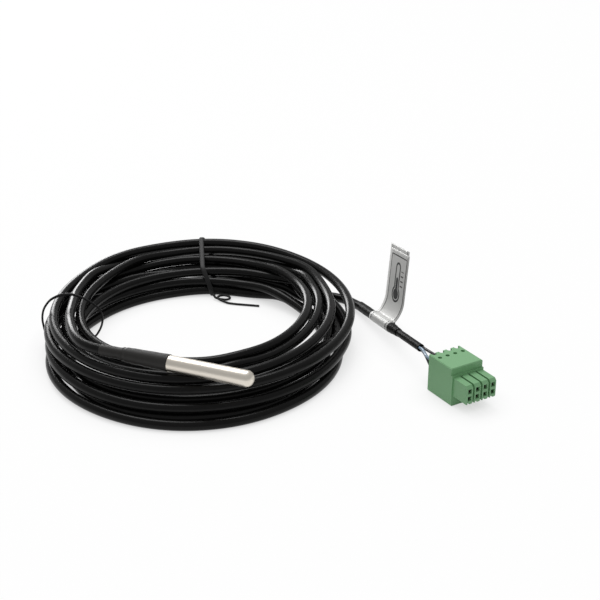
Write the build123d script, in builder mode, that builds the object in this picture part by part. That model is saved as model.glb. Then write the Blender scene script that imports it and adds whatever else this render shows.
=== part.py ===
from build123d import *
import os
from math import cos, pi, radians, sin, sqrt, tan

os.makedirs("parts", exist_ok=True)

# Temperature probe: a closed steel tube on a coiled cable with a two-row plug at the other end.
# The origin is the middle of the tube's bare stretch, X runs along the tube to its tip and Z is
# up. The tube lies on top of the coil; the coil and the plug stand on one level surface.

# Sensor tube
tube_d = 6.0
tube_wall = 0.35
bare_length = 30.0
tip_round = 2.6
neck_length = 17.4  # rear stretch, rolled down and covered by the wide sleeve
neck_drop = 0.1  # how much smaller its radius is where it starts
neck_clearance = 0.15  # between the cable and the bore at its rear end

# Inside the tube
element_r = 2.3
element_flat = 1.2  # from the axis to the flat side
element_length = 4.6
element_setback = 0.5  # behind the start of the dome
leg_width = 0.45
leg_thickness = 0.38
leg_length = 8.0
lead_pitch = 1.2
core_d = 0.95
jacket_reach = 12.4  # how far the cable's jacket goes into the tube

# Cable and the sleeves at the probe end
cable_d = 3.8
cable_sleeve_length = 10.5
cable_sleeve_wall = 0.2  # at its rear
cable_sleeve_growth = 0.2  # radius gained towards the tube
jacket_bare = 0.4  # straight cable behind the narrow sleeve
tube_sleeve_wall = 0.3
shoulder_length = 1.2

# Coil: stacked rings that lean and widen from the foot to the top
coil_layers = 5
layer_rise = 3.1
rim_share = 0.48  # rim chamfer as a share of the rise
rim_limit = 0.45  # and at most this share of the ring's width
foot_centre = (-27.11, 42.75)
foot_outer_r = 58.7
foot_inner_r = 50.5
top_outer_centre = (-30.21, 59.09)
top_outer_r = 62.5
top_inner_centre = (-33.76, 59.04)
top_inner_r = 46.4
probe_lift = 3.85  # from the coil's top to the tube's axis
cable_gap = 0.1  # below the lead where it leaves the coil, and below the tail
lead_straight = 8.6  # the lead's last run, in line with the tube
lead_stub = 24.0
tail_stub = 36.5

# Tail: where its straight stretch starts and ends, with heights above the floor
tail_start = (17.85, 105.86, 2.65)
tail_finish = (59.08, 62.38, 10.2)
tail_bend_back = 2.5  # the last bend's corner, behind the start
tail_jacket_end = 10.0  # places along the stretch
tail_sleeve_from = 3.5
tail_sleeve_to = 36.0
tail_taper = 5.0
tail_sleeve_wall = 0.15
wire_sleeve_overlap = 3.0
wire_sleeve_wall = 0.25

# Flag label
label_from = 17.0
label_width = 16.5
label_film = 0.15
label_lean = 45.0  # where the halves leave the sleeve
label_bend = 35.0  # how much of the lean they lose
label_bend_r = 12.7
label_height = 21.2  # past the bend
label_front_height = 19.5  # the front half is cut a little shorter

# Wires
wire_d = 1.1
wire_bend_r = 5.5
wire_gap = 0.03
wire_turns = (30, 150, 270)  # places round the axis of the thin sleeve
wire_run_on = 2.6  # straight past the thin sleeve
wire_line_up = 3.5  # straight in front of the plug's rear face
insulation_reach = 5.2  # depth in the plug
conductor_d = 0.8
conductor_reach = 10.8

# Plug: depth runs from the wire side to the fingers, width across the poles
plug_corner_xy = (65.87, 49.69)
plug_heading = -36.7
poles = 4
pole_pitch = 3.5
plug_depth = 14.2
plug_width = 14.2
plug_height = 14.9
row_middle = 7.85
cap_depth = 3.2
band_height = 2.7
band_step = 0.8
plug_edge = 0.3
row_wall = 0.7
chamber_width = 2.3
chamber_height = 4.9
chamber_depth = 9.4
channel_width = 1.9
channel_height = 2.2
finger_width = 2.7
finger_height = 7.3
finger_length = 8.0
finger_front = 0.8
finger_chamfer = 0.9
finger_rib = 0.45
finger_groove = 0.55
finger_groove_depth = 0.6
finger_round = 0.55
port_width = 1.6
port_height = 1.8
test_hole_d = 1.6
test_hole_depth = 4.1
notch_width = 2.0
notch_depth = 1.5
funnel_width = 2.5
funnel_height = 3.0
funnel_taper = 6.0
boss_length = 0.8
boss_gap = 0.1
wire_row = 3.95  # wire axes above and below the row middle

# Contacts and clamp springs
contact_gap = 0.1
socket_wall = 0.2
socket_rear = 1.7  # behind it the channel opens into the chamber
bar_thickness = 0.3
bar_bend = 1.0
spring_thickness = 0.25
spring_width = 1.5
spring_loop_r = 0.6
spring_rear = 6.0
spring_foot_end = 11.4
spring_tip = 9.8

# Ties
tie_back_at = (-25.26, 43.5)
tie_back_heading = 112.2
tie_back_width = 2.0
tie_back_thickness = 0.5
tie_gap = 0.2
twist_d = 1.0
twist_reach = (22.8, 2.3, -0.4)
tie_left_at = (-78.2, 33.0)
tie_left_heading = 202.2
tie_left_wire = 0.6
tie_left_foot = (7.0, 2.0)  # half spacing and radius of the loop's lower corners
tie_left_arch = (4.0, 8.0, 13.5)  # the same for its upper corners, and their height
groove_gap = 0.15

# Values that follow from the ones above
tube_r = tube_d / 2
neck_r = tube_r - neck_drop
cable_r = cable_d / 2
neck_end_r = cable_r + neck_clearance + tube_wall
wire_r = wire_d / 2
step_x = -bare_length / 2
dome_x = bare_length / 2
tip_x = dome_x + tip_round
rear_x = step_x - neck_length
sleeve_x = rear_x - cable_sleeve_length
cable_end_x = sleeve_x - jacket_bare
jacket_x = rear_x + jacket_reach
element_x = dome_x - element_setback - element_length
leg_x = element_x - leg_length
lead_places = [lead_pitch * (index - 1) for index in range(3)]
coil_height = coil_layers * layer_rise
floor_z = -probe_lift - coil_height
up = Vector(0, 0, 1)


def on_floor(place):
    """Point whose height is given above the floor."""
    return Vector(place[0], place[1], floor_z + place[2])


def blend(foot, top, share):
    """Value part of the way from the foot to the top."""
    return foot + (top - foot) * share


def tube_shape(inset, end_x):
    """Solid of the tube's outline drawn in by the inset, from its rear end to the given place."""
    with BuildPart() as shape:
        with BuildSketch(Plane.XZ):
            with BuildLine():
                Polyline((end_x, 0), (rear_x, 0), (rear_x, neck_end_r - inset),
                         (step_x, neck_r - inset), (step_x, tube_r - inset),
                         (end_x, tube_r - inset), close=True)
            make_face()
        revolve(axis=Axis.X)
    return shape.part


def bend_radii(points):
    """Radius at each inner corner, where the fillet takes 45 percent of the shorter run."""
    radii = []
    for before, corner, after in zip(points, points[1:], points[2:]):
        run_in, run_out = corner - before, after - corner
        half_turn = radians(run_in.get_angle(run_out)) / 2
        radii.append(0.45 * min(run_in.length, run_out.length) / tan(half_turn))
    return radii


def round_cord(points, diameter, radii):
    """Round cord along straight runs joined by arcs."""
    with BuildPart() as cord:
        with BuildLine() as route:
            FilletPolyline(*points, radius=radii)
        with BuildSketch(Plane(origin=points[0], z_dir=points[1] - points[0])):
            Circle(diameter / 2)
        sweep(path=route.line)
    length = sum(edge.length for edge in route.edges())
    section = pi * diameter ** 2 / 4
    print("cord radii", [round(radius, 1) for radius in radii], "length", round(length, 1),
          "volume over section", round(cord.part.volume / section, 1))
    return cord.part


# Sensor tube: a domed plug closes its tip, and its rear is rolled down towards the cable. Only
# the bare stretch has the full diameter.
bore = tube_shape(tube_wall, dome_x)
with BuildPart() as sensor_tube:
    add(tube_shape(0, tip_x))
    fillet(sensor_tube.edges().filter_by(GeomType.CIRCLE).sort_by(Axis.X)[-1], tip_round)
    add(bore, mode=Mode.SUBTRACT)
sensor_tube.part.label = "sensor_tube"
export_step(sensor_tube.part, "parts/sensor_tube.step")

# Sensing element: a round body with one flat side, close to the dome.
with BuildPart() as sensing_element:
    with BuildSketch(Plane.YZ.offset(element_x)):
        Circle(element_r)
        with Locations((0, -element_flat)):
            Rectangle(2 * element_r, element_r, align=(Align.CENTER, Align.MAX), mode=Mode.SUBTRACT)
    extrude(amount=element_length)
sensing_element.part.label = "sensing_element"
export_step(sensing_element.part, "parts/sensing_element.step")

# Legs of the element, each joined end to end with one core of the cable.
inner_pieces = [sensing_element.part]
for number, place in enumerate(lead_places, 1):
    with BuildPart() as sensor_leg:
        with BuildSketch(Plane.YZ.offset(leg_x)):
            with Locations((place, 0)):
                Rectangle(leg_width, leg_thickness)
        extrude(amount=leg_length)
    sensor_leg.part.label = f"sensor_leg_{number}"
    export_step(sensor_leg.part, f"parts/sensor_leg_{number}.step")
    with BuildPart() as core:
        with BuildSketch(Plane.YZ.offset(jacket_x)):
            with Locations((place, 0)):
                Circle(core_d / 2)
        extrude(amount=leg_x - jacket_x)
    core.part.label = f"core_{number}"
    export_step(core.part, f"parts/core_{number}.step")
    inner_pieces += [sensor_leg.part, core.part]

# Straight end of the cable, from behind the narrow sleeve to inside the tube.
with BuildPart() as cable_end:
    with BuildSketch(Plane.YZ.offset(cable_end_x)):
        Circle(cable_r)
    extrude(amount=jacket_x - cable_end_x)
cable_end.part.label = "cable_end"
export_step(cable_end.part, "parts/cable_end.step")
inner_pieces.append(cable_end.part)

# Potting: the tube's bore less all that lies in it.
with BuildPart() as potting:
    add(bore)
    for piece in inner_pieces:
        add(piece, mode=Mode.SUBTRACT)
potting.part.label = "potting"
export_step(potting.part, "parts/potting.step")

# Narrow sleeve on the cable, a little thicker towards the tube and butted against it.
sleeve_rear_r = cable_r + cable_sleeve_wall
sleeve_front_r = sleeve_rear_r + cable_sleeve_growth
with BuildPart() as cable_sleeve:
    with BuildSketch(Plane.XZ):
        with BuildLine():
            Polyline((sleeve_x, cable_r), (rear_x, cable_r), (rear_x, sleeve_front_r),
                     (sleeve_x, sleeve_rear_r), close=True)
        make_face()
    revolve(axis=Axis.X)
cable_sleeve.part.label = "cable_sleeve"
export_step(cable_sleeve.part, "parts/cable_sleeve.step")

# Wide sleeve over the tube's neck, shrunk down behind it onto the narrow sleeve.
shoulder_x = rear_x - shoulder_length
shoulder_r = sleeve_front_r - cable_sleeve_growth * shoulder_length / cable_sleeve_length
with BuildPart() as tube_sleeve:
    with BuildSketch(Plane.XZ):
        with BuildLine():
            Polyline((step_x, neck_r), (rear_x, neck_end_r), (rear_x, sleeve_front_r),
                     (shoulder_x, shoulder_r), (shoulder_x, shoulder_r + tube_sleeve_wall),
                     (rear_x, neck_end_r + tube_sleeve_wall), (step_x, neck_r + tube_sleeve_wall),
                     close=True)
        make_face()
    revolve(axis=Axis.X)
tube_sleeve.part.label = "tube_sleeve"
export_step(tube_sleeve.part, "parts/tube_sleeve.step")

# Lead: from the top of the coil down the bend to the straight end in the narrow sleeve.
lead_z = cable_r + cable_gap - probe_lift
lead_points = [Vector(-71.31, 20.06, lead_z), Vector(-67.54, 10.81, 0.43 * lead_z),
               Vector(-60.54, 3.6, 0.13 * lead_z), Vector(cable_end_x - lead_straight, 0, 0),
               Vector(cable_end_x, 0, 0)]
cable_lead = round_cord(lead_points, cable_d, bend_radii(lead_points))
cable_lead.label = "cable_lead"
export_step(cable_lead, "parts/cable_lead.step")

# Tail: leaves the foot of the coil along the floor and bends into its straight stretch.
tail_from, tail_to = on_floor(tail_start), on_floor(tail_finish)
tail_line = (tail_to - tail_from).normalized()
tail_length = (tail_to - tail_from).length
tail_side = tail_line.cross(up).normalized() * -1
tail_level = cable_r + cable_gap
tail_points = [on_floor((-7.86, 107.53, tail_level)), on_floor((4.12, 111.01, tail_level)),
               tail_from - tail_line * tail_bend_back, tail_from + tail_line * tail_jacket_end]
cable_tail = round_cord(tail_points, cable_d, bend_radii(tail_points))
cable_tail.label = "cable_tail"
export_step(cable_tail, "parts/cable_tail.step")

# Two ties. Each is a band round circles at the corners of the coil's section, given as
# place along the heading, height and radius; both pass under the coil in shallow grooves.
rim = rim_share * layer_rise


def tie_plane(place, heading):
    """Upright plane through a place, its first axis along the heading and its second up."""
    outward = Vector(cos(radians(heading)), sin(radians(heading)), 0)
    return Plane(origin=on_floor((*place, 0)), x_dir=outward, z_dir=outward.cross(up))


def rim_reach(plane, centre, radius):
    """Distance from the plane's origin to a rim along the plane's first axis."""
    offset = Vector(*centre) - Vector(plane.origin.X, plane.origin.Y)
    along = offset.dot(plane.x_dir)
    return along + sqrt(radius ** 2 - (offset.length ** 2 - along ** 2))


def hull_face(corners, grow):
    """Face of the stretched outline round the corner circles."""
    with BuildSketch() as hull:
        for place, height, radius in corners:
            with Locations((place, height)):
                Circle(radius + grow)
        make_hull()
    return hull.sketch


def tie_band(plane, corners, thickness, width):
    """Closed band of the given thickness and width."""
    outside, inside = hull_face(corners, thickness), hull_face(corners, 0)
    with BuildPart() as band:
        with BuildSketch(plane):
            add(outside)
            add(inside, mode=Mode.SUBTRACT)
        extrude(amount=width / 2, both=True)
    return band.part


back_plane = tie_plane(tie_back_at, tie_back_heading)
corner_r = rim + tie_gap
low = corner_r + tie_back_thickness + cable_gap
high = coil_height - rim
back_foot_in = rim_reach(back_plane, foot_centre, foot_inner_r) + 2 * rim - low
back_foot_out = rim_reach(back_plane, foot_centre, foot_outer_r) - rim
back_top_out = rim_reach(back_plane, top_outer_centre, top_outer_r) - rim
back_top_in = rim_reach(back_plane, top_inner_centre, top_inner_r) + rim
lean_share = (low - rim) / (high - rim)
back_corners = [(back_foot_in, low, corner_r),
                (blend(back_foot_out, back_top_out, lean_share), low, corner_r),
                (back_top_out, high, corner_r), (back_top_in, high, corner_r)]
twist_root = back_plane.from_local_coords(
    Vector(back_foot_in - corner_r - tie_back_thickness, low, 0))
twist_line = Vector(*twist_reach)
with BuildPart() as tie_back:
    add(tie_band(back_plane, back_corners, tie_back_thickness, tie_back_width))
    with BuildSketch(Plane(origin=twist_root, z_dir=twist_line)):
        Circle(twist_d / 2)
    extrude(amount=twist_line.length)
tie_back.part.label = "tie_back"
export_step(tie_back.part, "parts/tie_back.step")

left_plane = tie_plane(tie_left_at, tie_left_heading)
foot_half, foot_r = tie_left_foot
arch_half, arch_r, arch_z = tie_left_arch
left_low = foot_r + tie_left_wire + cable_gap
left_corners = [(-foot_half, left_low, foot_r), (foot_half, left_low, foot_r),
                (-arch_half, arch_z, arch_r), (arch_half, arch_z, arch_r)]
tie_left = tie_band(left_plane, left_corners, tie_left_wire, tie_left_wire)
tie_left.label = "tie_left"
export_step(tie_left, "parts/tie_left.step")


def coil_layer(index):
    """One ring of the coil with chamfered rims."""
    share = index / (coil_layers - 1)
    outer_centre = blend(Vector(*foot_centre), Vector(*top_outer_centre), share)
    inner_centre = blend(Vector(*foot_centre), Vector(*top_inner_centre), share)
    outer_r = blend(foot_outer_r, top_outer_r, share)
    inner_r = blend(foot_inner_r, top_inner_r, share)
    ring_width = outer_r - inner_r - (outer_centre - inner_centre).length
    with BuildPart() as layer:
        with BuildSketch(Plane.XY.offset(floor_z + index * layer_rise)):
            with Locations(outer_centre):
                Circle(outer_r)
            with Locations(inner_centre):
                Circle(inner_r, mode=Mode.SUBTRACT)
        extrude(amount=layer_rise)
        chamfer(layer.edges().filter_by(GeomType.CIRCLE), min(rim, rim_limit * ring_width))
    return layer.part


# Coil: the rings, a stub of cable at each end of it, and the grooves under the ties.
groove_cuts = [(back_plane, tie_back_width, tie_back_thickness), (left_plane, tie_left_wire, tie_left_wire)]
with BuildPart() as cable_coil:
    for index in range(coil_layers):
        add(coil_layer(index))
    for points, reach in ((lead_points, lead_stub), (tail_points, tail_stub)):
        with BuildSketch(Plane(origin=points[0], z_dir=points[0] - points[1])):
            Circle(cable_r)
        extrude(amount=reach)
    for plane, width, thickness in groove_cuts:
        with BuildSketch(plane):
            Rectangle(4 * foot_outer_r, 2 * (thickness + cable_gap + groove_gap))
        extrude(amount=width / 2 + groove_gap, both=True, mode=Mode.SUBTRACT)
cable_coil.part.label = "cable_coil"
export_step(cable_coil.part, "parts/cable_coil.step")

# Tail sleeve: shrunk on the jacket, tapered down onto the thin sleeve of the wires.
wire_spread = 2 * (wire_r + wire_gap) / sqrt(3)  # from the stretch's axis to a wire's axis
wire_bore_r = wire_spread + wire_r + wire_gap
wire_sleeve_r = wire_bore_r + wire_sleeve_wall
tail_sleeve_r = cable_r + tail_sleeve_wall
taper_end = tail_sleeve_to + tail_taper
grip_from = taper_end - wire_sleeve_overlap
tail_profile = Plane(origin=tail_from, x_dir=tail_line, z_dir=tail_side)
tail_axis = Axis(tail_from, tail_line)
with BuildPart() as tail_sleeve:
    with BuildSketch(tail_profile):
        with BuildLine():
            Polyline((tail_sleeve_from, cable_r), (tail_sleeve_to, cable_r), (grip_from, wire_sleeve_r),
                     (taper_end, wire_sleeve_r), (taper_end, wire_sleeve_r + tail_sleeve_wall),
                     (tail_sleeve_to, tail_sleeve_r), (tail_sleeve_from, tail_sleeve_r), close=True)
        make_face()
    revolve(axis=tail_axis)
tail_sleeve.part.label = "tail_sleeve"
export_step(tail_sleeve.part, "parts/tail_sleeve.step")

with BuildPart() as wire_sleeve:
    with BuildSketch(Plane(origin=tail_from + tail_line * grip_from, x_dir=tail_side, z_dir=tail_line)):
        Circle(wire_sleeve_r)
        Circle(wire_bore_r, mode=Mode.SUBTRACT)
    extrude(amount=tail_length - grip_from)
wire_sleeve.part.label = "wire_sleeve"
export_step(wire_sleeve.part, "parts/wire_sleeve.step")

# Flag label: one turn of film round the sleeve, its two halves stuck together. They leave the
# sleeve at a lean, bend upright and stand straight to the tip.
label_plane = Plane(origin=tail_from + tail_line * label_from, x_dir=tail_side, z_dir=tail_line)
leave = Vector(sin(radians(label_lean)), cos(radians(label_lean)))
across = Vector(-leave.Y, leave.X)
with BuildPart() as flag_label:
    with BuildSketch(label_plane):
        Circle(tail_sleeve_r + label_film)
        for side, height in ((-1, label_height), (1, label_front_height)):
            root = leave * tail_sleeve_r + across * (side * label_film / 2)
            with BuildLine():
                bend = JernArc(root, leave, label_bend_r - side * label_film / 2, label_bend)
                Line(bend @ 1, (bend @ 1) + (bend % 1) * height)
            trace(line_width=label_film)
        Circle(tail_sleeve_r, mode=Mode.SUBTRACT)
    extrude(amount=label_width)
flag_label.part.label = "flag_label"
export_step(flag_label.part, "parts/flag_label.step")

# Plug frames. Points are given as depth, width and height from its rear lower corner.
plug_forward = Vector(cos(radians(plug_heading)), sin(radians(plug_heading)), 0)
plug_across = up.cross(plug_forward)
plug_corner = on_floor((*plug_corner_xy, 0))
pole_places = [plug_width / 2 + pole_pitch * (index - (poles - 1) / 2) for index in range(poles)]
finger_end = plug_depth + finger_length
channel_end = finger_end - finger_front
chamber_end = cap_depth + chamber_depth


def plug_point(depth, width, height):
    """Point of the plug in the part's frame."""
    return plug_corner + plug_forward * depth + plug_across * width + up * height


def plug_side(width):
    """Upright plane along the plug: first axis depth, second height."""
    return Plane(origin=plug_point(0, width, 0), x_dir=plug_forward, z_dir=plug_across * -1)


def plug_section(depth):
    """Upright plane across the plug: first axis width, second height."""
    return Plane(origin=plug_point(depth, 0, 0), x_dir=plug_across, z_dir=plug_forward)


def plug_level(height):
    """Level plane: first axis depth, second width."""
    return Plane(origin=plug_point(0, 0, height), x_dir=plug_forward, z_dir=up)


def pole_grid(offset):
    """Places of all poles in both rows, the rows at an offset from the row middle."""
    return [(place, row_middle + side * offset) for side in (1, -1) for place in pole_places]


chamber_offset = (row_wall + chamber_height) / 2
channel_offset = (row_wall + channel_height) / 2

# Plug housing: body with a set-back upper band, four fingers, and for each pole and row a
# chamber for the clamp, a channel for the socket and a port for the pin.
with BuildPart() as plug_housing:
    with BuildSketch(plug_side(0)):
        with BuildLine():
            Polyline((cap_depth, 0), (plug_depth, 0), (plug_depth, plug_height - band_height),
                     (plug_depth - band_step, plug_height - band_height),
                     (plug_depth - band_step, plug_height), (cap_depth, plug_height), close=True)
        body = make_face()
        chamfer(body.vertices().sort_by(Axis.Y)[-2:].sort_by(Axis.X)[-1], plug_edge)
    extrude(amount=-plug_width)
    long_edges = plug_housing.edges().filter_by(Axis(plug_corner, plug_forward))
    chamfer([edge for edge in long_edges if edge.length > plug_depth / 2], plug_edge)
    with BuildSketch(plug_section(plug_depth)) as finger_sections:
        for place in pole_places:
            with Locations((place, row_middle)):
                Rectangle(finger_width, finger_height)
            groove_at = place - finger_width / 2 + finger_rib
            with Locations((groove_at, row_middle - finger_height / 2)):
                Rectangle(finger_groove, 2 * finger_groove_depth, align=(Align.MIN, Align.CENTER),
                          mode=Mode.SUBTRACT)
        lowest = finger_sections.vertices().group_by(Axis.Y)[0].sort_by(Axis.X)
        fillet([corner for index, corner in enumerate(lowest) if index % 4 > 1], finger_round)
    extrude(amount=finger_length)
    across_edges = plug_housing.edges().filter_by(Axis(plug_corner, plug_across))
    finger_ends = across_edges.group_by(Axis(plug_corner, plug_forward))[-1]
    chamfer(finger_ends.group_by(Axis.Z)[-1], finger_chamfer)
    with BuildSketch(plug_section(cap_depth)):
        with Locations(*pole_grid(chamber_offset)):
            Rectangle(chamber_width, chamber_height)
    extrude(amount=chamber_depth, mode=Mode.SUBTRACT)
    with BuildSketch(plug_section(chamber_end)):
        with Locations(*pole_grid(channel_offset)):
            Rectangle(channel_width, channel_height)
    extrude(amount=channel_end - chamber_end, mode=Mode.SUBTRACT)
    with BuildSketch(plug_section(channel_end)):
        with Locations(*pole_grid(channel_offset)):
            Rectangle(port_width, port_height)
    extrude(amount=finger_front, mode=Mode.SUBTRACT)
    with BuildSketch(plug_level(plug_height)):
        for place in pole_places:
            with Locations((test_hole_depth, place)):
                Circle(test_hole_d / 2)
    extrude(amount=-(plug_height - row_middle - chamber_offset), mode=Mode.SUBTRACT)
plug_housing.part.label = "plug_housing"
export_step(plug_housing.part, "parts/plug_housing.step")

# Plug cap: closes the chambers, with a funnel for each wire and a boss in each chamber.
with BuildPart() as plug_cap:
    with BuildSketch(plug_section(0)) as cap_section:
        with Locations((plug_width / 2, plug_height / 2)):
            Rectangle(plug_width, plug_height)
        chamfer(cap_section.vertices(), plug_edge)
    extrude(amount=cap_depth)
    with BuildSketch(plug_section(cap_depth)):
        with Locations(*pole_grid(chamber_offset)):
            Rectangle(chamber_width - 2 * boss_gap, chamber_height - 2 * boss_gap)
    extrude(amount=boss_length)
    with BuildSketch(plug_section(0)):
        with Locations(*pole_grid(wire_row)):
            Rectangle(funnel_width, funnel_height)
    extrude(amount=cap_depth + boss_length, taper=funnel_taper, mode=Mode.SUBTRACT)
    with BuildSketch(plug_level(plug_height)):
        for place in pole_places:
            with Locations((0, place)):
                SlotOverall(2 * notch_depth, notch_width)
    extrude(amount=-(plug_height - row_middle - wire_row), mode=Mode.SUBTRACT)
    with BuildSketch(plug_level(plug_height)):
        for place in pole_places:
            with Locations((test_hole_depth, place)):
                Circle(test_hole_d / 2)
    extrude(amount=-plug_height / 2, mode=Mode.SUBTRACT)
plug_cap.part.label = "plug_cap"
export_step(plug_cap.part, "parts/plug_cap.step")

# Contacts and springs, one pair for each pole and row; the lower row is the upper one mirrored.
# The contact is a square socket in the channel and a bent bar along the chamber's far wall.
# The spring presses the bared wire against that bar.
socket_width = channel_width - 2 * contact_gap
socket_height = channel_height - 2 * contact_gap
socket_from = chamber_end + socket_rear
socket_to = channel_end - contact_gap
socket_top = row_wall / 2 + channel_height - contact_gap - bar_thickness / 2
bar_top = wire_row + conductor_d / 2 + contact_gap + bar_thickness / 2
bar_rear = insulation_reach + contact_gap
spring_low = row_wall / 2 + contact_gap + spring_thickness / 2
spring_high = wire_row - conductor_d / 2 - contact_gap - spring_thickness / 2
number = 0
for side in (1, -1):
    for place in pole_places:
        number += 1
        bar_line = [(socket_from + socket_wall, socket_top), (chamber_end - bar_thickness, socket_top),
                    (chamber_end - bar_thickness - bar_bend, bar_top), (bar_rear, bar_top)]
        spring_line = [(spring_foot_end, spring_low), (spring_rear, spring_low),
                       (spring_rear, spring_low + 3 * spring_loop_r), (spring_tip, spring_high)]
        bar_line = [(depth, row_middle + side * height) for depth, height in bar_line]
        spring_line = [(depth, row_middle + side * height) for depth, height in spring_line]

        with BuildPart() as contact:
            with BuildSketch(plug_section(socket_from)):
                with Locations((place, row_middle + side * channel_offset)):
                    Rectangle(socket_width, socket_height)
                    Rectangle(socket_width - 2 * socket_wall, socket_height - 2 * socket_wall,
                              mode=Mode.SUBTRACT)
            extrude(amount=socket_to - socket_from)
            with BuildSketch(plug_side(place)):
                with BuildLine():
                    Polyline(*bar_line)
                trace(line_width=bar_thickness)
            extrude(amount=socket_width / 2, both=True)
        contact.part.label = f"contact_{number}"
        export_step(contact.part, f"parts/contact_{number}.step")

        with BuildPart() as spring:
            with BuildSketch(plug_side(place)):
                with BuildLine():
                    FilletPolyline(*spring_line, radius=spring_loop_r)
                trace(line_width=spring_thickness)
            extrude(amount=spring_width / 2, both=True)
        spring.part.label = f"spring_{number}"
        export_step(spring.part, f"parts/spring_{number}.step")


def plug_wire(turn, pole, side):
    """Wire from the cable's end through both sleeves into the plug, bared between spring and bar.

    The turn is its place round the stretch's axis.
    """
    place = tail_side * (wire_spread * cos(radians(turn)))
    place += tail_line.cross(tail_side) * (wire_spread * sin(radians(turn)))
    height = row_middle + side * wire_row
    points = [tail_from + place + tail_line * tail_jacket_end,
              tail_to + place + tail_line * wire_run_on,
              plug_point(-wire_line_up, pole_places[pole], height),
              plug_point(insulation_reach, pole_places[pole], height)]
    insulation = round_cord(points, wire_d, [wire_bend_r, wire_bend_r])
    with BuildPart() as wire:
        add(insulation)
        with BuildSketch(plug_section(insulation_reach)):
            with Locations((pole_places[pole], height)):
                Circle(conductor_d / 2)
        extrude(amount=conductor_reach - insulation_reach)
    return wire.part


wire_black_1 = plug_wire(wire_turns[0], 1, 1)
wire_black_1.label = "wire_black_1"
export_step(wire_black_1, "parts/wire_black_1.step")

wire_blue = plug_wire(wire_turns[1], 0, 1)
wire_blue.label = "wire_blue"
export_step(wire_blue, "parts/wire_blue.step")

wire_black_2 = plug_wire(wire_turns[2], 1, -1)
wire_black_2.label = "wire_black_2"
export_step(wire_black_2, "parts/wire_black_2.step")
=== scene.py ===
import bmesh
import bpy
import numpy as np
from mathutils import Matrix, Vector


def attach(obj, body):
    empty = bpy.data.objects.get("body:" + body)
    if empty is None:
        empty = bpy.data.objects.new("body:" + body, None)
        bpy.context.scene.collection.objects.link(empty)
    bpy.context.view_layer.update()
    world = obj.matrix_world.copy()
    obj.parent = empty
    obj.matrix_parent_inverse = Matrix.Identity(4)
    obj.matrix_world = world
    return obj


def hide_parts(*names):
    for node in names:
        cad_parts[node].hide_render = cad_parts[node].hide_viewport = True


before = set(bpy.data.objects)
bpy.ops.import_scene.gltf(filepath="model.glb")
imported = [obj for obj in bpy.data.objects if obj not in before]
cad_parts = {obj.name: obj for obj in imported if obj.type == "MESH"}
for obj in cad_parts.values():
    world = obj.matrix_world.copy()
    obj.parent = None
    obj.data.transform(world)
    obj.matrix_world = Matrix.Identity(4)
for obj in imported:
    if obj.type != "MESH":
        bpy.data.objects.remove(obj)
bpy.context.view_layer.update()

# Cable: one round lead with a smooth black jacket, wound by hand into a loose coil that leans
# back. Its tail keeps the route of the solids, and its lead lies a few millimetres beside it. The
# turns pass the back, left, front and right, each at a reach from the coil's middle and a height.
mm = 0.001
cable_d = 3.8
floor_z = -19.35
coil_middle = np.array([-29.40, 49.69])
coil_turn = np.radians(22.2)
passes = {
    90: [(53.2, 1.9), (49.2, 1.9), (50.4, 6.0), (62.7, 8.0), (54.0, 9.1),
         (56.8, 7.0), (72.4, 15.5), (68.9, 13.1), (62.1, 10.4), (73.6, 9.2)],
    180: [(56.9, 2.2), (49.8, 1.9), (50.6, 5.7), (58.1, 6.5), (46.3, 8.5),
          (58.6, 9.8), (57.2, 13.5), (46.7, 12.6), (53.0, 8.7), (50.4, 15.6)],
    270: [(64.5, 2.0), (62.0, 2.8), (54.6, 6.5), (61.7, 6.0), (41.3, 11.2),
          (57.7, 11.7), (54.7, 14.4), (40.6, 14.0), (44.5, 10.9)],
    360: [(56.0, 1.9), (50.9, 1.9), (52.8, 6.5), (58.7, 6.2), (55.9, 5.6),
          (61.1, 13.8), (53.2, 13.9), (43.5, 14.2), (48.5, 13.1)],
}
wound, first_angle = 9.25, 92
reach_ease, height_ease = 120, 60
# The turns lie higher over the back tie, the left tie and the cable's own tail.
lift_places = np.array([(0, 58), (-52, 3), (35.6, 46.8)])
lifts, lift_spread = np.array([0.9, 0.9, 3.9]), np.array([10, 10, 7])


def loose_turns(per_turn=110):
    """Axis points of the turns, mm, with x to the viewer's right, y away and z above the floor.

    x and y are a circle's cosine and sine whose four reaches change slowly from pass to pass.
    Reaches and heights run straight between passes and are then smoothed along the cable.
    """
    angle = np.radians(np.linspace(first_angle, 90 + wound * 360, int(wound * per_turn)))

    def eased(places, values, span):
        """Values run straight between places, then smoothed over a span, both in degrees."""
        window = np.hanning(int(span * per_turn / 360) | 1)
        flat = np.interp(angle, np.radians(places), values)
        padded = np.pad(flat, len(window) // 2, mode="edge")
        return np.convolve(padded, window / window.sum(), "valid")

    reach, height = {}, []
    for start, values in passes.items():
        places = start + 360 * np.arange(len(values))
        reach[start] = eased(places, [value[0] for value in values], reach_ease)
        height += zip(places, [value[1] for value in values])
    height = np.array(sorted(height))
    x = (reach[360] - reach[180]) / 2 + (reach[360] + reach[180]) / 2 * np.cos(angle)
    y = (reach[90] - reach[270]) / 2 + (reach[90] + reach[270]) / 2 * np.sin(angle)
    return np.stack([x, y, eased(height[:, 0], height[:, 1], height_ease)], axis=1)


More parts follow.
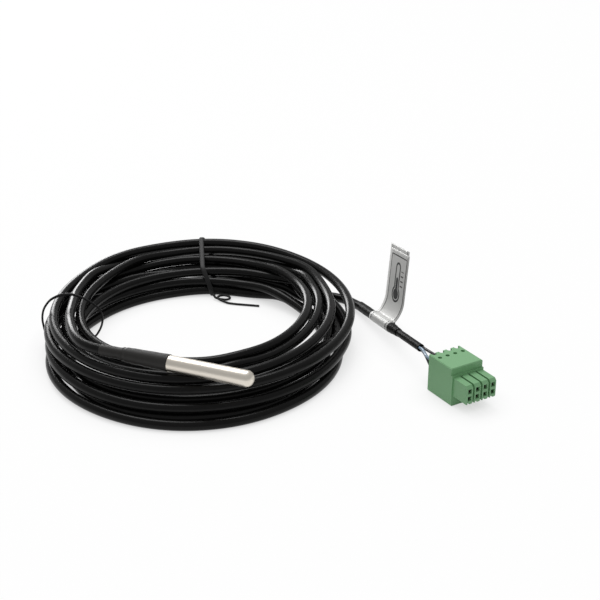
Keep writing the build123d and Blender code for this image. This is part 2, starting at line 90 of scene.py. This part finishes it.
def pushed_apart(turns, rounds=70, share=0.35, ease=0.04, room=1.01, skipped=8, held=10):
    """Turns moved until their axes lie a diameter apart and a radius above floor, ties and tail.

    Each round moves every point off its near neighbours on other turns by a share of the overlap,
    evens the moves out along the cable and eases its bends. The first and last points stay.
    Points within the skipped count of each other along the cable aren't compared.
    """
    count = np.arange(len(turns))
    others = np.abs(count[:, None] - count) > skipped
    hold = np.clip(np.minimum(count, count[::-1]) / held, 0, 1)[:, None]
    for _ in range(rounds):
        gap = turns[:, None] - turns
        far = np.linalg.norm(gap, axis=2) + 1e-9
        over = np.where(others, np.clip(room * cable_d - far, 0, None), 0)
        move = share * np.einsum("ijk,ij->ik", gap, over / far)
        move /= np.sqrt(np.clip((over > 0).sum(1), 1, None))[:, None]
        for _ in range(2):
            move[1:-1] = (move[:-2] + 2 * move[1:-1] + move[2:]) / 4
        bend = np.zeros_like(turns)
        bend[2:-2] = 4 * (turns[1:-3] + turns[3:-1]) - 6 * turns[2:-2] - turns[:-4] - turns[4:]
        turns = turns + hold * (move + ease * bend)
        near = np.linalg.norm(turns[:, None, :2] - lift_places, axis=2) / lift_spread
        lift = (lifts * np.exp(-near ** 2)).max(axis=1)
        turns[:, 2] = np.maximum(turns[:, 2], cable_d / 2 + lift)
    return turns


def from_coil(points):
    """Points of the coil's own axes in the part's frame, mm."""
    x, y, z = np.asarray(points, float).T
    c, s = np.cos(coil_turn), np.sin(coil_turn)
    across, away = coil_middle[0] + c * x - s * y, coil_middle[1] + s * x + c * y
    return np.stack([across, away, floor_z + z], axis=1)


lead_route = [(-43.3, 0, 0), (-48.9, 0, 0), (-56.9, 4.9, -0.1), (-63.3, 12.5, -0.7),
              (-68.6, 19.7, -1.6), (-73.0, 26.6, -2.7)]
coil_exit = [(18.0, 53.4, 1.9)]
tail_before, tail_inside = 2.5, 10
tail_from, tail_to = np.array([17.85, 105.86, -16.7]), np.array([59.08, 62.38, -9.15])
tail_line = (tail_to - tail_from) / np.linalg.norm(tail_to - tail_from)
tail_route = [(-7.86, 107.53, -17.35), (4.12, 111.01, -17.35),
              tail_from - tail_before * tail_line, tail_from + tail_inside * tail_line]
turns = pushed_apart(loose_turns())
route = np.concatenate([lead_route, from_coil(turns[::-1]), from_coil(coil_exit), tail_route])
line = bpy.data.curves.new("cable", "CURVE")
line.dimensions = "3D"
spline = line.splines.new("NURBS")
spline.points.add(len(route) - 1)
spline.points.foreach_set("co", np.column_stack([route * mm, np.ones(len(route))]).ravel())
# The curve's bounding box grows by each point's radius, so the points carry the cable's own.
spline.points.foreach_set("radius", np.full(len(route), cable_d / 2 * mm))
spline.order_u = 3
spline.use_endpoint_u = True
spline.resolution_u = 3
spline.use_smooth = True
line.bevel_depth = 1
line.bevel_resolution = 8
line.use_fill_caps = True
cable = bpy.data.objects.new("cable", line)
bpy.context.collection.objects.link(cable)
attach(cable, "root")
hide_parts("cable_lead", "cable_coil", "cable_tail")


class Shade:
    """A socket of a node tree. Arithmetic on it adds Math nodes, and node() adds any other."""

    def __init__(self, tree, socket=None):
        self.tree, self.socket = tree, socket

    def node(self, kind, settings={}, inputs={}, out=0):
        """New node of a kind: its settings first, then values or links for its sockets."""
        made = self.tree.nodes.new("ShaderNode" + kind)
        for name, value in settings.items():
            setattr(made, name, value)
        for name, value in inputs.items():
            if isinstance(value, Shade):
                self.tree.links.new(value.socket, made.inputs[name])
            else:
                made.inputs[name].default_value = value
        return Shade(self.tree, made.outputs[out])

    def math(self, operation, *values):
        return self.node("Math", {"operation": operation}, dict(enumerate(values)))

    def __add__(self, other): return self.math("ADD", self, other)
    def __radd__(self, other): return self.math("ADD", other, self)
    def __sub__(self, other): return self.math("SUBTRACT", self, other)
    def __rsub__(self, other): return self.math("SUBTRACT", other, self)
    def __mul__(self, other): return self.math("MULTIPLY", self, other)
    def __rmul__(self, other): return self.math("MULTIPLY", other, self)
    def __lt__(self, other): return self.math("LESS_THAN", self, other)
    def __gt__(self, other): return self.math("GREATER_THAN", self, other)
    def __or__(self, other): return self.math("MAXIMUM", self, other)
    def __abs__(self): return self.math("ABSOLUTE", self)

    def stretched(self, x, y, z):
        """Coordinates with each axis multiplied by its own number."""
        return self.node("VectorMath", {"operation": "MULTIPLY"}, {0: self, 1: (x, y, z)})

    def noise(self, scale, detail):
        return self.node("TexNoise", {}, {"Vector": self, "Scale": scale, "Detail": detail})

    def between(self, share, low, high):
        """Colour between two colours, each a tuple or a socket."""
        low, high = ((*c, 1) if isinstance(c, tuple) else c for c in (low, high))
        return self.node("Mix", {"data_type": "RGBA"}, {0: share, 6: low, 7: high}, 2)

    def bump(self, distance, strength):
        return self.node("Bump", {}, {"Height": self, "Distance": distance, "Strength": strength})


def finish(name):
    """New material, its principled shader's sockets and the object's own coordinates."""
    material = bpy.data.materials.new(name)
    material.use_nodes = True
    tree = material.node_tree
    place = Shade(tree).node("TexCoord", out=3)
    return material, tree.nodes["Principled BSDF"].inputs, place


def feed(inputs, **values):
    """Fills the shader's sockets; an underscore in a name stands for a space."""
    for name, value in values.items():
        socket = inputs[name.replace("_", " ")]
        if isinstance(value, Shade):
            value.tree.links.new(value.socket, socket)
        else:
            socket.default_value = value


def dress(material, *nodes):
    """Gives CAD nodes a material."""
    for node in nodes:
        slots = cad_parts[node].data.materials
        slots.clear()
        slots.append(material)


jacket, inputs, place = finish("black jacket")
scuff = place.noise(900, 4)
cloud = place.noise(50, 0)
feed(inputs, Base_Color=place.between(scuff * 0.6, (0.003, 0.003, 0.003), (0.010, 0.0098, 0.0095)),
     Roughness=0.22 + 0.08 * cloud, Normal=cloud.bump(0.0001, 0.5), Specular_IOR_Level=0.15)
line.materials.append(jacket)
dress(jacket, "cable_end")

# Sensor: a three-legged moulded body in the tube's tip, its tinned legs joined to the cable's
# cores, all set in dark resin that fills the tube.
resin, inputs, place = finish("cast resin")
cloud = place.noise(400, 3)
feed(inputs, Base_Color=place.between(cloud, (0.06, 0.06, 0.066), (0.13, 0.13, 0.14)),
     Roughness=0.4 + 0.25 * cloud, Normal=cloud.bump(0.0001, 0.4))
dress(resin, "potting")
moulding, inputs, place = finish("black moulding")
grain = place.noise(3000, 2)
feed(inputs, Base_Color=place.between(grain, (0.02, 0.02, 0.022), (0.05, 0.05, 0.055)),
     Roughness=0.5 + 0.2 * grain, Normal=grain.bump(0.00002, 0.5))
dress(moulding, "sensing_element")
tinned, inputs, place = finish("tinned leg")
patch = place.noise(2500, 3)
feed(inputs, Base_Color=place.between(patch, (0.62, 0.62, 0.61), (0.8, 0.8, 0.79)),
     Roughness=0.22 + 0.2 * patch, Metallic=1.0)
dress(tinned, *(f"sensor_leg_{n}" for n in range(1, 4)))
insulation, inputs, place = finish("core insulation")
patch = place.noise(800, 2)
feed(inputs, Base_Color=place.between(patch, (0.17, 0.19, 0.23), (0.24, 0.26, 0.31)),
     Roughness=0.3 + 0.15 * patch)
dress(insulation, *(f"core_{n}" for n in range(1, 4)))

# Sensor tube: drawn stainless steel with a domed tip, ground lengthwise to a satin shine. Its
# rear stretch is rolled down a little and goes into the wide sleeve.
tube_r, neck_r, neck_end_r = 3.0, 2.9, 2.4
tube_rear, tube_step, tube_dome, tip_round = -32.4, -15.0, 15.0, 2.6
tube_edge = 0.04


def surface(name, grid, material, joined=(False, True), crease=40, uv=None):
    """Piece made of a grid of points in mm. joined says whether its rows and its columns close.

    Edges that turn by more than the crease, in degrees, stay sharp.
    """
    rows, columns = grid.shape[:2]
    number = np.arange(rows * columns).reshape(rows, columns)
    if joined[0]:
        number = np.vstack([number, number[:1]])
    if joined[1]:
        number = np.hstack([number, number[:, :1]])
    faces = np.stack([number[:-1, :-1], number[:-1, 1:], number[1:, 1:], number[1:, :-1]], axis=2)
    mesh = bpy.data.meshes.new(name)
    mesh.from_pydata((grid.reshape(-1, 3) * mm).tolist(), [], faces.reshape(-1, 4).tolist())
    if uv is not None:
        layer = mesh.uv_layers.new(name="film")
        layer.data.foreach_set("uv", uv.reshape(-1, 2)[faces.ravel()].ravel())
    shell = bmesh.new()
    shell.from_mesh(mesh)
    bmesh.ops.remove_doubles(shell, verts=shell.verts, dist=1e-7)
    bmesh.ops.recalc_face_normals(shell, faces=shell.faces)
    shell.to_mesh(mesh)
    shell.free()
    mesh.shade_smooth()
    mesh.set_sharp_from_angle(angle=np.radians(crease))
    mesh.materials.append(material)
    piece = bpy.data.objects.new(name, mesh)
    bpy.context.collection.objects.link(piece)
    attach(piece, "root")
    return piece


def turned(profile, origin, along, side, around=96):
    """Grid of a profile turned about an axis: origin + u·along + r·(cos a·side + sin a·along×side).

    Each point of the profile is its place u on the axis and its radius r.
    """
    u, r = np.asarray(profile, float).T
    angle = np.linspace(0, 2 * np.pi, around, endpoint=False)
    ring = np.cos(angle)[:, None] * side + np.sin(angle)[:, None] * np.cross(along, side)
    return origin + u[:, None, None] * along + r[:, None, None] * ring


def stepped(start, end, count):
    """Evenly spaced profile points on the straight line between two points."""
    return np.linspace(start, end, count)


steel, inputs, place = finish("satin steel")
streak = place.stretched(40, 1500, 1500).noise(1.0, 4)
cloud = place.stretched(1, 3, 3).noise(90, 3)
feed(inputs, Base_Color=place.between(cloud, (0.79, 0.735, 0.65), (0.87, 0.815, 0.73)), Metallic=1.0,
     Roughness=0.31 + 0.08 * streak + 0.06 * cloud, Normal=streak.bump(0.00001, 0.2))
turn = np.linspace(0, np.pi / 2, 24)
dome = np.column_stack([tube_dome + tip_round * np.sin(turn),
                        tube_r - tip_round + tip_round * np.cos(turn)])
tube_profile = np.concatenate([
    [(tube_rear, 0), (tube_rear, neck_end_r)],
    stepped((tube_rear, neck_end_r), (tube_step, neck_r), 8),
    [(tube_step, neck_r), (tube_step, tube_r - tube_edge), (tube_step + tube_edge, tube_r)],
    stepped((tube_step + 2 * tube_edge, tube_r), (tube_dome, tube_r), 30),
    dome, [(tube_dome + tip_round, 0)]])
x_axis, y_axis, z_axis = np.eye(3)
sensor_tube = surface("tube", turned(tube_profile, np.zeros(3), x_axis, y_axis, 128), steel)
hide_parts("sensor_tube")

# Shrink sleeves: black tubing shrunk on with hot air, so its walls ripple a little and its cut
# ends turn in. A narrow and a wide one in dull tubing seal the sensor tube. Two in thinner and
# smoother tubing grip the tail and the three wires.
sleeve_x, narrow_r, narrow_end_r, narrow_bore_r = -42.9, 2.1, 2.3, 1.92
shoulder_x, shoulder_dip, shoulder_rise = -33.6, [(0, 2.62), (0.5, 2.5)], [(0.7, 2.52), (1.6, 2.74)]
wide_from, wide_r, wide_end_r, wide_bore_r, wide_edge = 1.9, 2.78, 3.2, 2.42, 0.5
tail_sleeve_r, tail_bore_r, tail_start, tail_straight_end = 2.05, 1.52, 3.5, 33.4
tail_bulge, tail_taper = [(33.9, 2.15), (36.2, 2.05)], [(36.8, 1.95), (41.0, 1.68)]
wire_sleeve_r, wire_bore_r, wire_start, wire_end = 1.50, 1.25, 38.0, 60.4
narrow_lip, wide_lip, thin_lip = 0.08, 0.1, 0.06
ripple_waves = ((1.0, 6.28, 0.0), (0.6, 9.1, 1.3), (0.4, 17.7, 0.5))


def rippled(profile, depth, pitch):
    """Profile whose radii wave: r + depth·Σ size·sin(rate·u / pitch + start), over three waves.

    The first wave repeats once in each pitch, and the other two break its even beat.
    """
    u, r = np.asarray(profile, float).T
    wave = sum(size * np.sin(u * rate / pitch + start) for size, rate, start in ripple_waves)
    return np.column_stack([u, r + depth * wave])


def sleeved(name, outside, inside_r, lip, origin, along, side, material):
    """Hollow sleeve: an outside profile, a bevelled lip at both ends and a plain bore."""
    (start, start_r), (end, end_r) = outside[0], outside[-1]
    bore = [(end, end_r - lip), (end, inside_r), (start, inside_r), (start, start_r - lip)]
    outside = np.array(outside)
    outside[0, 0] += lip
    outside[-1, 0] -= lip
    profile = np.concatenate([bore, outside])
    piece = surface(name, turned(profile, origin, along, side), material, joined=(True, True))
    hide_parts(name.replace("_skin", ""))
    return piece


shrunk, inputs, place = finish("shrink sleeve")
fine = place.noise(2600, 3)
cloud = place.noise(150, 3)
feed(inputs, Base_Color=place.between(cloud, (0.016, 0.015, 0.014), (0.030, 0.028, 0.026)),
     Roughness=0.4 + 0.12 * fine + 0.1 * cloud, Normal=fine.bump(0.00002, 0.5), Specular_IOR_Level=0.3)
thin, inputs, place = finish("thin sleeve")
fine = place.noise(2600, 3)
cloud = place.noise(200, 3)
feed(inputs, Base_Color=place.between(cloud, (0.003, 0.003, 0.003), (0.008, 0.0076, 0.0072)),
     Roughness=0.36 + 0.1 * fine + 0.08 * cloud, Normal=fine.bump(0.00001, 0.3), Specular_IOR_Level=0.1)
narrow = stepped((sleeve_x, narrow_r), (tube_rear, narrow_end_r), 40)
narrow = rippled(narrow, depth=0.025, pitch=7)
wide = stepped((shoulder_x + wide_from, wide_r), (tube_step - wide_edge, wide_end_r), 60)
wide = np.concatenate([
    stepped(*shoulder_dip, 6) + (shoulder_x, 0), stepped(*shoulder_rise, 6) + (shoulder_x, 0),
    rippled(wide, depth=0.02, pitch=6), [(tube_step, wide_end_r)]])
probe_axis = np.zeros(3), x_axis, y_axis
sleeved("cable_sleeve_skin", narrow, narrow_bore_r, narrow_lip, *probe_axis, shrunk)
sleeved("tube_sleeve_skin", wide, wide_bore_r, wide_lip, *probe_axis, shrunk)
tail_side = np.cross(z_axis, tail_line)
tail_side /= np.linalg.norm(tail_side)
tail_up = np.cross(tail_line, tail_side)
tail_axis = tail_from, tail_line, tail_side
tail_straight = stepped((tail_start, tail_sleeve_r), (tail_straight_end, tail_sleeve_r), 60)
tail_outside = np.concatenate([
    rippled(tail_straight, depth=0.02, pitch=8),
    rippled(stepped(*tail_bulge, 8), depth=0.02, pitch=6),
    rippled(stepped(*tail_taper, 12), depth=0.02, pitch=8)])
tail_skin = sleeved("tail_sleeve_skin", tail_outside, tail_bore_r, thin_lip, *tail_axis, thin)
wire_ends = (wire_start, wire_sleeve_r), (wire_end, wire_sleeve_r)
wire_outside = rippled(stepped(*wire_ends, 60), depth=0.012, pitch=11)
wire_skin = sleeved("wire_sleeve_skin", wire_outside, wire_bore_r, thin_lip, *tail_axis, thin)

# Flag label: silver film wrapped once round the tail sleeve, its two halves stuck together. They
# leave the sleeve at a lean and curl upright. The near half is cut shorter and sits a little askew.
# A thin printed frame runs along the film, round a plain thermometer sign.
label_from, label_width, film, film_offset = 17.0, 16.5, 0.14, 0.55
label_lean, label_bend, label_bend_r = np.radians(45.0), np.radians(36.5), 12.7
far_straight, near_straight = 20.8, 19.1
near_shift, shift_run = 0.8, 25
wrap_off = 0.08
wrap_r = tail_sleeve_r + wrap_off
crease_r = 1.3
uv_unit = 100
print_half, frame_inset, frame_end = 0.25, 1.5, 2.0
bulb_at, stem_top, level = 17.5, 6.5, 11.5
stem_r, bulb_r, column_r, drop_r, sign_half = 1.7, 3.0, 0.9, 2.2, 0.42
tick_pitch, tick_half, tick_x, tick_reach, tick_middle, tick_span = 1.0, 0.26, 3.9, 1.1, 10.6, 3.2


def label_half(side, straight):
    """Path of one half in the plane across the tail, from the wrap to its tip, and its wrap angle.

    A crease arc that touches both the wrap and the flag's line leads to the bend, an arc of the
    bend radius, and then the straight stretch. The side is 1 for the half on the left of the line
    and -1 for the other. Each lies off the flag's middle by the film offset times its thickness.
    """
    leave = np.array([np.sin(label_lean), np.cos(label_lean)])
    left = np.array([-leave[1], leave[0]])
    gap = side * film * film_offset
    run = np.sqrt((wrap_r + crease_r) ** 2 - (crease_r + abs(gap)) ** 2)
    centre = run * leave + side * (crease_r + abs(gap)) * left
    start = np.arctan2(*(-centre)[::-1])
    end = np.arctan2(*(-side * left)[::-1])
    sweep = (end - start + np.pi) % (2 * np.pi) - np.pi
    angle = start + np.linspace(0, sweep, 10)
    crease = centre + crease_r * np.column_stack([np.cos(angle), np.sin(angle)])
    pivot = run * leave + label_bend_r * left
    radius = label_bend_r - gap
    angle = np.linspace(0, label_bend, 28) - label_lean
    bend = pivot + radius * np.column_stack([np.cos(angle), np.sin(angle)])
    ahead = np.array([-np.sin(angle[-1]), np.cos(angle[-1])])
    stand = bend[-1] + np.linspace(0, straight, 30)[1:, None] * ahead
    return np.concatenate([crease[:-1], bend, stand]), np.arctan2(*crease[0][::-1])


near_path, near_angle = label_half(1, near_straight)
far_path, far_angle = label_half(-1, far_straight)
angle = np.linspace(near_angle, far_angle + 2 * np.pi, 72)[1:-1]
wrap = wrap_r * np.column_stack([np.cos(angle), np.sin(angle)])
film_path = np.concatenate([near_path[::-1], wrap, far_path])
film_run = np.concatenate([[0], np.cumsum(np.linalg.norm(np.diff(film_path, axis=0), axis=1))])
askew = near_shift * np.interp(film_run, [near_straight, near_straight + shift_run], [1, 0])
across = np.linspace(0, label_width, 12)
film_grid = (tail_from + film_path[:, None, :1] * tail_side + film_path[:, None, 1:] * tail_up
             + (label_from + across + askew[:, None])[:, :, None] * tail_line)
film_uv = np.stack(np.broadcast_arrays(across / uv_unit, film_run[:, None] / uv_unit), axis=2)

silver, inputs, place = finish("silver film")
film_place = place.node("TexCoord", out=2)
x = uv_unit * film_place.node("SeparateXYZ", {}, {0: film_place}, 0) - label_width / 2
v = uv_unit * film_place.node("SeparateXYZ", {}, {0: film_place}, 1)
side_line = (abs(abs(x) - (label_width / 2 - frame_inset)) < print_half) * (v > frame_end)
end_line = (abs(v - frame_end) < print_half) * (abs(x) < label_width / 2 - frame_inset)


def from_stem(top, foot):
    """Distance from the sign's middle line between two places along the film."""
    past = v - v.math("MINIMUM", v.math("MAXIMUM", v, top), foot)
    return v.math("SQRT", x * x + past * past)


outline = from_stem(stem_top, bulb_at) - stem_r
bulb = from_stem(bulb_at, bulb_at)
outline = outline.math("MINIMUM", outline, bulb - bulb_r)
filled = (from_stem(level, bulb_at) < column_r) | (bulb < drop_r)
tick_lines = abs(v.math("PINGPONG", v - stem_top, tick_pitch) - tick_pitch) < tick_half
ticks = tick_lines * (abs(x - tick_x) < tick_reach) * (abs(v - tick_middle) < tick_span)
printed = side_line | end_line | (abs(outline) < sign_half) | filled | ticks
fine = place.noise(4000, 2)
cloud = place.noise(120, 2)
plain = place.between(cloud, (0.63, 0.63, 0.615), (0.68, 0.68, 0.665))
feed(inputs, Base_Color=place.between(printed, plain, (0.012, 0.012, 0.013)),
     Metallic=0.25 - 0.2 * printed, Roughness=0.4 + 0.12 * fine, Normal=fine.bump(0.00001, 0.3))
label = surface("flag_film", film_grid, silver, joined=(False, False), crease=80, uv=film_uv)
thick = label.modifiers.new("film", "SOLIDIFY")
thick.thickness, thick.offset = film * mm, 0
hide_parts("flag_label")

# Wires: three stranded wires in smooth insulation, two black and one grey-blue, that leave the
# thin sleeve and go into the plug's funnels.
for colour, low, high in (("black", (0.010, 0.010, 0.011), (0.022, 0.022, 0.023)),
                          ("blue", (0.16, 0.24, 0.33), (0.24, 0.33, 0.43))):
    coat, inputs, place = finish(f"{colour} insulation")
    patch = place.noise(700, 3)
    feed(inputs, Base_Color=place.between(patch, low, high), Roughness=0.26 + 0.16 * patch,
         Normal=patch.bump(0.00002, 0.3))
    dress(coat, *(("wire_black_1", "wire_black_2") if colour == "black" else ("wire_blue",)))

# Plug: two mouldings in pale green plastic with a fine spark-eroded grain, snapped together over
# the contacts. The grain dulls the faces, and the colour varies slightly through the moulding.
green, inputs, place = finish("pale green moulding")
grain = place.noise(3200, 3)
cloud = place.noise(70, 2)
mottle = cloud * 0.6 + grain * 0.4
feed(inputs, Base_Color=place.between(mottle, (0.195, 0.43, 0.205), (0.235, 0.485, 0.245)),
     Roughness=0.4 + 0.16 * grain, Normal=grain.bump(0.00004, 0.5), Specular_IOR_Level=0.5)
dress(green, "plug_housing", "plug_cap")

# Contacts and clamp springs: tin-plated sockets in the fingers, and bent steel strips that press
# each bared wire against its socket's bar.
plated, inputs, place = finish("tin-plated contact")
patch = place.noise(1500, 3)
feed(inputs, Base_Color=place.between(patch, (0.56, 0.53, 0.46), (0.72, 0.69, 0.62)), Metallic=1.0,
     Roughness=0.26 + 0.2 * patch)
dress(plated, *(f"contact_{n}" for n in range(1, 9)))
strip, inputs, place = finish("spring strip")
streak = place.stretched(300, 300, 2500).noise(1.0, 3)
feed(inputs, Base_Color=place.between(streak, (0.50, 0.50, 0.51), (0.64, 0.64, 0.65)), Metallic=1.0,
     Roughness=0.24 + 0.2 * streak)
dress(strip, *(f"spring_{n}" for n in range(1, 9)))

# Twist ties: soft wire in a black plastic coat. One is pulled tight round the back of the coil,
# with its ends twisted into an eye and a tail. The other is a loose ring round the left side.
band_width, band_thickness, band_standoff, band_squareness, band_reach = 2.1, 0.7, 0.2, 0.7, 3
# The band's slant is its height and its place to the right, on its inner and outer sides.
inner_slant = [(0.0, 2.9), (3.3, 2.3), (7.4, 0.5), (11.1, -1.5), (13.0, -3.1), (15.2, -4.1),
               (17.6, -3.4)]
outer_slant = [(0.0, 2.9), (17.6, -3.4)]
tail_wire_r, ring_r, ring_y = 0.5, 0.42, 3.0
# The ring's coat is thicker where its ends overlap, at the top.
double_more, double_x, double_spread, double_above = 0.45, -52, 5, 15
twist_points = [(3.4, 45.4, 1.6), (4.2, 43.4, 1.3), (6.2, 43.0, 0.9), (9.0, 42.5, 0.7),
                (10.7, 43.8, 0.8), (10.0, 45.2, 1.2), (7.6, 45.8, 1.5), (5.6, 44.8, 1.5),
                (5.0, 43.0, 1.3), (7.2, 41.3, 0.8), (9.9, 39.4, 0.6), (13.3, 38.6, 0.5),
                (18.1, 37.7, 0.5), (23.3, 36.7, 0.5)]
ring_points = [(-61.2, 4.2), (-62.0, 10.6), (-61.1, 15.0), (-58.1, 19.1), (-53.5, 21.3),
               (-49.1, 21.5), (-44.8, 19.8), (-41.1, 17.4), (-38.2, 14.5), (-37.6, 10.6),
               (-38.7, 6.6), (-41.5, 2.2), (-46.0, 0.5), (-51.0, 0.45), (-56.5, 0.4), (-60.0, 0.7)]


def smooth_path(points, count, spread, closed=False):
    """Points joined by straight runs, spaced evenly and smoothed by a bell of so many points."""
    points = np.asarray(points, float)
    ring = np.vstack([points, points[:1]]) if closed else points
    run = np.concatenate([[0], np.cumsum(np.linalg.norm(np.diff(ring, axis=0), axis=1))])
    even = np.linspace(0, run[-1], count, endpoint=not closed)
    path = np.column_stack([np.interp(even, run, column) for column in ring.T])
    bell = np.hanning(spread | 1)
    half = len(bell) // 2
    if closed:
        before, after = path[-half:], path[:half]
    else:
        before, after = 2 * path[0] - path[half:0:-1], 2 * path[-1] - path[-2:-half - 2:-1]
    padded = np.vstack([before, path, after])
    return np.column_stack([np.convolve(column, bell / bell.sum(), "valid") for column in padded.T])


def carried(path, outline, side, closed=False):
    """Grid of an outline carried along a path: path(u) + a(v)·first(u) + b(v)·second(u).

    Second is the path's direction crossed with the side, and first is second crossed with it.
    """
    if closed:
        along = np.roll(path, -1, axis=0) - np.roll(path, 1, axis=0)
    else:
        along = np.gradient(path, axis=0)
    along /= np.linalg.norm(along, axis=1)[:, None]
    second = np.cross(along, side)
    second /= np.linalg.norm(second, axis=1)[:, None]
    first = np.cross(second, along)
    return path[:, None] + outline[..., :1] * first[:, None] + outline[..., 1:] * second[:, None]


def capped(grid):
    """Open tube's grid with a point at the middle of each end."""
    middles = (row.mean(axis=0)[None, None] for row in (grid[0], grid[-1]))
    first, last = (np.repeat(middle, grid.shape[1], axis=1) for middle in middles)
    return np.concatenate([first, grid, last])


matte, inputs, place = finish("tie coat")
fine = place.noise(1800, 3)
feed(inputs, Base_Color=place.between(fine, (0.007, 0.007, 0.0075), (0.017, 0.017, 0.017)),
     Roughness=0.34 + 0.2 * fine, Normal=fine.bump(0.00003, 0.4), Specular_IOR_Level=0.22)
coil_right = np.array([np.cos(coil_turn), np.sin(coil_turn), 0])
coil_away = np.array([-np.sin(coil_turn), np.cos(coil_turn), 0])
around = np.linspace(0, 2 * np.pi, 20, endpoint=False)
circle = np.column_stack([np.cos(around), np.sin(around)])
rounded = np.sign(circle) * np.abs(circle) ** band_squareness
oval = rounded * (band_width / 2, band_thickness / 2)
here = turns[(np.abs(turns[:, 0]) < band_reach) & (turns[:, 1] > 0)][:, 1:]
facing = np.radians(np.arange(0, 360, 1.5))
outward = np.column_stack([np.cos(facing), np.sin(facing)])
rim_off = cable_d / 2 + band_thickness / 2 + band_standoff
rim = here[(here @ outward.T).argmax(axis=0)] + rim_off * outward
inner = np.interp(rim[:, 1], *np.transpose(inner_slant))
outer = np.interp(rim[:, 1], *np.transpose(outer_slant))
slant = np.where(np.cos(facing) < 0, inner, outer)
hull = smooth_path(np.column_stack([slant, rim]), count=240, spread=23, closed=True)
band_grid = carried(from_coil(hull), oval, coil_right, closed=True)
band = surface("tie_back_band", band_grid, matte, joined=(True, True))
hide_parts("tie_back")
twist = from_coil(smooth_path(twist_points, count=220, spread=19))
tail_wire = surface("tie_back_twist", capped(carried(twist, circle * tail_wire_r, z_axis)), matte)
ring_path = [(x, ring_y, z) for x, z in ring_points]
ring = smooth_path(ring_path, count=200, spread=21, closed=True)
doubled = np.exp(-((ring[:, 0] - double_x) / double_spread) ** 2) * (ring[:, 2] > double_above)
ring_outline = circle[None] * (ring_r * (1 + double_more * doubled))[:, None, None]
ring_grid = carried(from_coil(ring), ring_outline, coil_away, closed=True)
loop = surface("tie_left_ring", ring_grid, matte, joined=(True, True))
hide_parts("tie_left")

# Studio: a pale floor that is white to the camera and keeps a soft shadow, a lamp above the
# coil, a second one behind it on the left, and the camera at the photograph's place.
floor_half, shadow_reach, world_light = 4, 0.012, 0.46
lamp_target = (-0.02, 0.05, -0.02)
camera_place, camera_faces = (0.16994, -0.33088, 0.19857), (-0.343, 0.8405, -0.4195)
floor_corners = [(x * floor_half, y * floor_half, floor_z * mm)
                 for x, y in ((-1, -1), (1, -1), (1, 1), (-1, 1))]
floor_mesh = bpy.data.meshes.new("floor")
floor_mesh.from_pydata(floor_corners, [], [(0, 1, 2, 3)])
floor = bpy.data.objects.new("floor", floor_mesh)
bpy.context.collection.objects.link(floor)
paint, inputs, place = finish("pale floor")
feed(inputs, Base_Color=(0.7, 0.7, 0.7, 1), Roughness=0.7)
tree = paint.node_tree
seen = place.node("LightPath", out=0) | place.node("LightPath", out=3)
# Painted contact shadow: ambient occlusion dims the floor's camera-seen glow near the object and in
# gaps, and there the floor's lit share shows its lamps' real shadow.
ao_unshaded = place.node("AmbientOcclusion", {"samples": 8}, {"Distance": shadow_reach}, 1)
glow = place.node("Emission", {}, {"Color": (1, 1, 1, 1), "Strength": 1.0})
lit = Shade(tree, tree.nodes["Principled BSDF"].outputs[0])
mixed = place.node("MixShader", {}, {0: seen * (0.5 + 0.48 * ao_unshaded), 1: lit, 2: glow})
tree.links.new(mixed.socket, tree.nodes["Material Output"].inputs[0])
floor_mesh.materials.append(paint)

world = bpy.data.worlds.new("studio")
bpy.context.scene.world = world
world.use_nodes = True
world.node_tree.nodes["Background"].inputs[0].default_value = (1, 1, 1, 1)
world.node_tree.nodes["Background"].inputs[1].default_value = world_light


def lamp(name, place, target, size, power):
    """Square area lamp that faces its target, metres and watts."""
    data = bpy.data.lights.new(name, "AREA")
    data.size, data.energy = size, power
    light = bpy.data.objects.new(name, data)
    light.location = place
    light.rotation_euler = (Vector(target) - Vector(place)).to_track_quat("-Z", "Y").to_euler()
    bpy.context.collection.objects.link(light)


lamp("lamp_above", (-0.25, 0.35, 0.7), lamp_target, 0.45, 3.5)
lamp("lamp_left", (-0.75, 0.78, 0.25), lamp_target, 0.36, 3.4)

view = bpy.data.cameras.new("camera")
view.lens, view.sensor_width, view.sensor_fit = 72, 36, "HORIZONTAL"
view.clip_start = 0.01
camera = bpy.data.objects.new("camera", view)
camera.location = camera_place
camera.rotation_euler = Vector(camera_faces).to_track_quat("-Z", "Y").to_euler()
bpy.context.collection.objects.link(camera)
bpy.context.scene.camera = camera
bpy.context.scene.view_settings.view_transform = "Standard"

bpy.context.view_layer.update()
